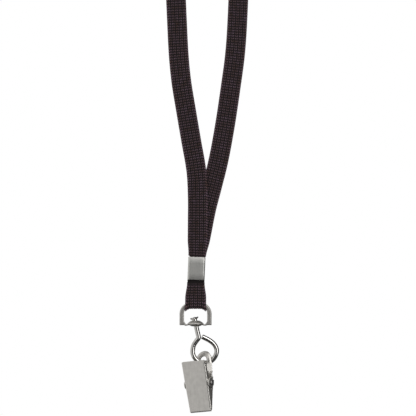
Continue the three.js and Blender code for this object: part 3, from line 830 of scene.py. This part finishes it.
def lathe(name, profile, sides, material, matrix, petals=(0, 0, 0)):
    """A turned shape: profile is (radius, height) from end to end, about its own Z. Petals are
    how many lobes its rim has, how far they reach out and how far they stand up."""
    count, reach, rise = petals
    widest = max(r for r, _ in profile)
    vertices = []
    for r, h in profile:
        for a in np.arange(sides) * 2 * math.pi / sides:
            lobe = math.cos(count * a / 2 + PETAL_PHASE) ** 4 * (r / widest) ** 2
            out = r * (1 + reach * lobe)
            vertices.append((out * math.cos(a), out * math.sin(a), h + rise * lobe))
    return new_piece(name, vertices, tube_faces(len(profile), sides), material, matrix)


BOSS_RIM = (RING["x"], 0.0, -420.5)
WIRE = {"radius": 1.23, "eye_radius": 6.3, "eye": (4.71, -13.75), "shank_tilt": 13, "yaw": 12}
SHANK = (-2.75, -1, 1, 3, 5.2)  # distances down from the boss's rim
CROOK = [(1.55, 0, -7.2), (0.55, 0, -8.65), (-0.55, 0, -10.2), (-1.15, 0, -11.5)]
TAIL = [(10.2, 0, -11.35), (8.95, 0, -9.8), (7.4, 0, -8.65), (5.9, 0, -7.8), (3.35, 0, -6.6)]
HEAD_PROFILE = [
    (1.6, 2.35), (1.85, 2.5), (1.9, 2.75), (1.8, 3.0), (1.45, 3.2), (1.2, 3.1), (0.8, 3.15), (0.3, 3.3)
]
HEAD_PETALS = (4, 0.16, 0.34)


def eye_points():
    """Down the leaning shank, round the crook and the open eye, and back to the shank."""
    lean = math.radians(WIRE["shank_tilt"])
    shank = [(d * math.sin(lean), 0, -d * math.cos(lean)) for d in SHANK]
    (x, z), r = WIRE["eye"], WIRE["eye_radius"]
    around = [
        (x + r * math.cos(a), 0, z + r * math.sin(a))
        for a in map(math.radians, (190, 215, 240, 265, 290, 315, 340, 362))
    ]
    return shank + CROOK + around + TAIL


def make_eye():
    place = Matrix.Translation(BOSS_RIM) @ turned(WIRE["yaw"], "Z")
    eye = round_wire("swivel_wire", eye_points(), WIRE["radius"], 28, 0.3, BRIGHT_NICKEL, place)
    finish_piece(eye, "swivel", "swivel_eye", slot="bright_nickel")
    head_place = place @ turned(-WIRE["shank_tilt"], "Y")
    head = lathe("swivel_head", HEAD_PROFILE, 48, BRIGHT_NICKEL, head_place, HEAD_PETALS)
    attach(head, "swivel")


make_eye()


# ---------- pin and spring ----------
PIN = {"radius": 0.8, "shoulder": 8.15, "head_radius": 1.2, "head_thick": 0.5}


def make_pin():
    """A pin with the same dished head at both ends."""
    shoulder, r = PIN["shoulder"], PIN["head_radius"]
    end = shoulder + PIN["head_thick"]
    one_head = [
        (PIN["radius"], shoulder), (r * 0.96, shoulder), (r, shoulder + 0.06), (r, end - 0.24),
        (r * 0.92, end - 0.1), (r * 0.72, end - 0.02), (r * 0.5, end), (r * 0.4, end - 0.1),
        (0.05, end - 0.2),
    ]
    profile = [(a, -b) for a, b in reversed(one_head)] + one_head
    pin = lathe("rivet_pin", profile, 32, SPRING_STEEL, CLIP_PLACE @ turned(90, "Y"))
    finish_piece(pin, "clip", "pivot_pin", slot="spring_steel")


make_pin()

SPRING = {
    "wire": 0.34, "coil": 1.47, "pitch": 0.95, "turns": 4, "legs": (7.0, 4),
    "start": 165, "past_turns": 210, "clearance": 0.2,
}


def make_spring():
    """A torsion spring on the pin, with a leg up against the inside of each plate."""
    half = SPRING["turns"] * SPRING["pitch"] / 2
    stand = SHEET / 2 + SPRING["wire"] + SPRING["clearance"]
    count = SPRING["turns"] * 16
    sweep = SPRING["turns"] * 360 + SPRING["past_turns"]
    points = [(-half, front_plane(z) + stand, z) for z in SPRING["legs"]]
    for i in range(count + 1):
        a = math.radians(SPRING["start"] + i / count * sweep)
        x = -half + i / count * 2 * half
        points.append((x, SPRING["coil"] * math.cos(a), SPRING["coil"] * math.sin(a)))
    points += [(half, rear_plane(z) - stand, z) for z in reversed(SPRING["legs"])]
    spring = round_wire("torsion_spring", points, SPRING["wire"], 10, 0.25, SPRING_STEEL, CLIP_PLACE, 8)
    finish_piece(spring, None, "clip_spring", slot="spring_steel")
    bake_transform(spring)


make_spring()


# ---------- floor, light and surroundings ----------
FLOOR = {"half": 6000.0, "z": -900.0, "color": (0.85, 0.85, 0.84), "glow": 0.4}
KEY = {"place": (0.76, -0.9, -0.05), "aim": (0.0, 0.0, -0.4), "size": (0.42, 1.1), "watts": 5.6}
# What the metal reflects, as (towards, cosine where it starts, where it is full, brightness).
SURROUNDINGS = [
    ((-1.0, 0.0, 0.0), 0.25, 0.48, 0.6),  # a grey card on the left
    ((0.0, -0.45, 0.9), 0.72, 0.95, 1.1),  # overhead, towards the camera
    ((-0.5, 0.85, 0.0), 0.75, 0.95, 0.3),
    ((0.3, 0.95, 0.0), 0.88, 0.97, 0.3),
]
AMBIENT = 0.07
# Reflections from below dim to gain: fully at one height of their direction, not at all at the other.
GROUND = {"full": -0.75, "none": -0.5, "gain": 0.3}


def make_floor():
    half, z = FLOOR["half"], FLOOR["z"]
    corners = [(-half, -half, z), (half, -half, z), (half, half, z), (-half, half, z)]
    paper = Surface("floor_paper")
    paper.set(Base_Color=rgba(FLOOR["color"]), Roughness=0.9)
    paper.set(Emission_Color=(1, 1, 0.99, 1), Emission_Strength=FLOOR["glow"])
    floor = new_piece("floor", corners, [(0, 1, 2, 3)], paper.material)
    floor.visible_glossy = False


def make_key():
    data = bpy.data.lights.new("key", "AREA")
    data.shape = "RECTANGLE"
    data.size, data.size_y = KEY["size"]
    data.energy = KEY["watts"]
    light = bpy.data.objects.new("key", data)
    light.location = KEY["place"]
    light.rotation_mode = "QUATERNION"
    towards = Vector(KEY["aim"]) - Vector(KEY["place"])
    light.rotation_quaternion = towards.to_track_quat("-Z", "Y")
    bpy.context.collection.objects.link(light)


def make_world():
    """White behind the object. What it reflects is dark, with a few soft pale cards round it."""
    world = bpy.data.worlds.new("studio")
    bpy.context.scene.world = world
    world.use_nodes = True
    n = Graph(world.node_tree)
    direction = n.coordinates.outputs["Generated"]
    total = AMBIENT
    for towards, start, full, brightness in SURROUNDINGS:
        dot = n.add("ShaderNodeVectorMath")
        dot.operation = "DOT_PRODUCT"
        n.put(dot.inputs[0], direction)
        n.put(dot.inputs[1], Vector(towards).normalized())
        card = n.span(dot.outputs["Value"], start, full, 0.0, brightness, "SMOOTHSTEP")
        total = n.math("ADD", card, total)
    height = n.fill(n.add("ShaderNodeSeparateXYZ"), Vector=direction).outputs["Z"]
    above_ground = n.span(height, GROUND["full"], GROUND["none"], GROUND["gain"], 1.0)
    around = n.tree.nodes["Background"]
    n.fill(around, Color=n.math("MULTIPLY", total, above_ground))
    behind = n.fill(n.add("ShaderNodeBackground"), Color=(1, 1, 1, 1))
    mix = n.add("ShaderNodeMixShader")
    n.fill(mix, Fac=n.add("ShaderNodeLightPath").outputs["Is Camera Ray"])
    n.put(mix.inputs[1], around.outputs["Background"])
    n.put(mix.inputs[2], behind.outputs["Background"])
    n.fill(n.tree.nodes["World Output"], Surface=mix.outputs["Shader"])


make_floor()
make_world()
make_key()
bpy.context.scene.view_settings.view_transform = "Standard"
